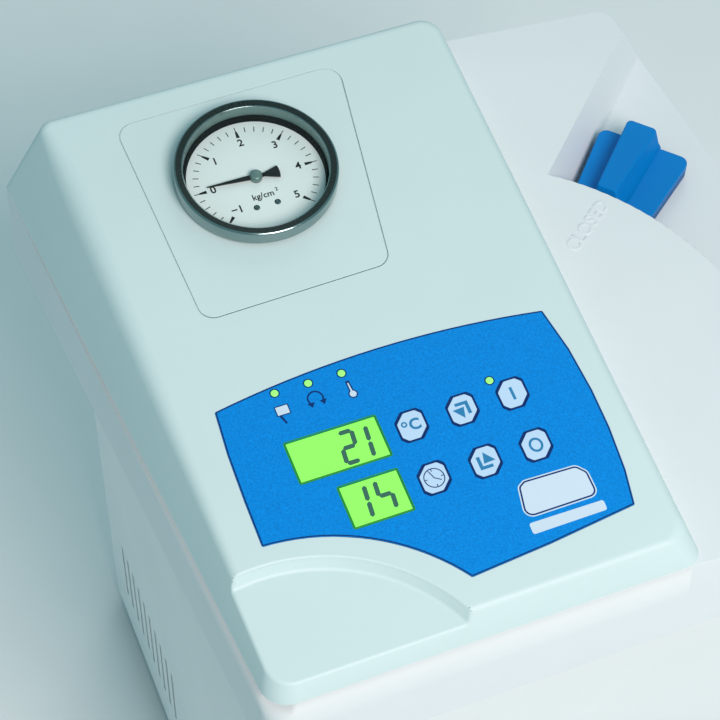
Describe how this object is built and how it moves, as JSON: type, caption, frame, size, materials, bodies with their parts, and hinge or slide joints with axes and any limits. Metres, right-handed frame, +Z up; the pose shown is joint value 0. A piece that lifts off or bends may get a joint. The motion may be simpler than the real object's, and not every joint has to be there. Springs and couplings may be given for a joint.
{
  "type": "benchtop autoclave",
  "caption": "Top-loading benchtop steriliser with a hinged lid cover, pressure gauge, keypad with two displays and a turning lock handle.",
  "frame": {"origin": "on the bench at the middle of the overall footprint", "axes": "+X to the right as the user faces the keypad, +Y to the back where the lid hinges, +Z up"},
  "size_m": [0.388, 0.374, 0.4977],
  "materials": {
    "cover_shell": "fine texture",
    "housing_paint": "powder coat",
    "panel_film": "printed film",
    "key_cap": "printed film",
    "handle_blue": "moulded",
    "lcd": "lit display",
    "lamp": "lit lamp",
    "gauge_dial": "printed white",
    "gauge_black": "black paint",
    "gauge_glass": "clear",
    "polished_steel": "polished",
    "vessel_steel": "brushed",
    "bracket_steel": "zinc plated",
    "screw_steel": "blackened",
    "brass": "turned",
    "copper_pipe": "drawn tube",
    "board": "circuit board",
    "black_plastic": "moulded",
    "green_plastic": "moulded",
    "red_plastic": "moulded",
    "seal_rubber": "silicone",
    "foot_rubber": "moulded",
    "insulation": "felt",
    "heater_sheath": "heat stained"
  },
  "bodies": {
    "base": {"lower_housing": "housing_paint", "base_plate": "bracket_steel", "feet": "foot_rubber", "foot_screws": "bracket_steel", "vessel": "vessel_steel", "vessel_flange": "vessel_steel", "vessel_legs": "bracket_steel", "insulation": "insulation", "heater_element": "heater_sheath", "heater_glands": "brass", "temperature_probe": "vessel_steel", "level_probe": "vessel_steel", "drain_pipe": "copper_pipe", "drain_valve": "brass", "drain_spigot": "brass", "safety_valve": "brass", "exhaust_pipe": "copper_pipe", "exhaust_spigot": "brass", "power_inlet": "black_plastic", "switch_frame": "black_plastic", "fuse_holders": "black_plastic", "power_board": "board", "hinge_brackets": "bracket_steel", "hinge_pins": "screw_steel", "basket": "vessel_steel"},
    "lid": {"top_cover": "cover_shell", "gauge_plate": "cover_shell", "membrane_overlay": "panel_film", "lcd_upper": "lcd", "lcd_lower": "lcd", "status_leds": "lamp", "power_led": "lamp", "control_board": "board", "board_posts": "bracket_steel", "terminal_block": "green_plastic", "gauge_case": "vessel_steel", "gauge_bezel": "polished_steel", "gauge_glass": "gauge_glass", "gauge_dial": "gauge_dial", "gauge_movement": "brass", "gauge_pipe": "copper_pipe", "lid_plate": "vessel_steel", "lid_gasket": "seal_rubber", "lid_frame": "bracket_steel"},
    "lock": {"locking_ring": "vessel_steel", "handle_arm": "bracket_steel", "handle_grip": "handle_blue", "handle_screws": "screw_steel"},
    "pointer": {"gauge_pointer": "gauge_black"},
    "drain_handle": {"drain_lever": "handle_blue"},
    "relief_knob": {"safety_ring": "red_plastic"},
    "rocker": {"mains_rocker": "green_plastic"},
    "bail": {"basket_bail": "vessel_steel"},
    "key_temperature_cap": {"key_temperature": "key_cap"},
    "key_up_cap": {"key_up": "key_cap"},
    "key_start_cap": {"key_start": "key_cap"},
    "key_time_cap": {"key_time": "key_cap"},
    "key_down_cap": {"key_down": "key_cap"},
    "key_stop_cap": {"key_stop": "key_cap"}
  },
  "joints": [
    {"name": "lid_hinge", "type": "hinge", "parent": "base", "child": "lid", "pos_m": [0, 0.18, 0.404], "axis": [-1, 0, 0], "range_deg": [0, 75]},
    {"name": "lock_turn", "type": "hinge", "parent": "lid", "child": "lock", "pos_m": [0, -0.055, 0.41], "axis": [0, 0, 1], "range_deg": [-32, 0]},
    {"name": "gauge_needle", "type": "hinge", "parent": "lid", "child": "pointer", "pos_m": [-0.0745, 0.0919, 0.48353], "axis": [0, -0.1045, 0.9945], "range_deg": [-221.5, 48.5]},
    {"name": "drain_turn", "type": "hinge", "parent": "base", "child": "drain_handle", "pos_m": [0.16, -0.112, 0.074], "axis": [1, 0, 0], "range_deg": [-90, 0]},
    {"name": "relief_lift", "type": "slide", "parent": "base", "child": "relief_knob", "axis": [0, 0, 1], "range_m": [0, 0.003], "stiffness_N_per_m": 400},
    {"name": "rocker_tip", "type": "hinge", "parent": "base", "child": "rocker", "pos_m": [-0.046, 0.161, 0.0725], "axis": [1, 0, 0], "range_deg": [0, 24]},
    {"name": "bail_fold", "type": "hinge", "parent": "base", "child": "bail", "pos_m": [0, -0.055, 0.297], "axis": [1, 0, 0], "range_deg": [-180, 0]},
    {"name": "press_temperature", "type": "slide", "parent": "lid", "child": "key_temperature_cap", "axis": [0, 0.1045, -0.9945], "range_m": [0, 0.0005], "stiffness_N_per_m": 1500},
    {"name": "press_up", "type": "slide", "parent": "lid", "child": "key_up_cap", "axis": [0, 0.1045, -0.9945], "range_m": [0, 0.0005], "stiffness_N_per_m": 1500},
    {"name": "press_start", "type": "slide", "parent": "lid", "child": "key_start_cap", "axis": [0, 0.1045, -0.9945], "range_m": [0, 0.0005], "stiffness_N_per_m": 1500},
    {"name": "press_time", "type": "slide", "parent": "lid", "child": "key_time_cap", "axis": [0, 0.1045, -0.9945], "range_m": [0, 0.0005], "stiffness_N_per_m": 1500},
    {"name": "press_down", "type": "slide", "parent": "lid", "child": "key_down_cap", "axis": [0, 0.1045, -0.9945], "range_m": [0, 0.0005], "stiffness_N_per_m": 1500},
    {"name": "press_stop", "type": "slide", "parent": "lid", "child": "key_stop_cap", "axis": [0, 0.1045, -0.9945], "range_m": [0, 0.0005], "stiffness_N_per_m": 1500}
  ]
}
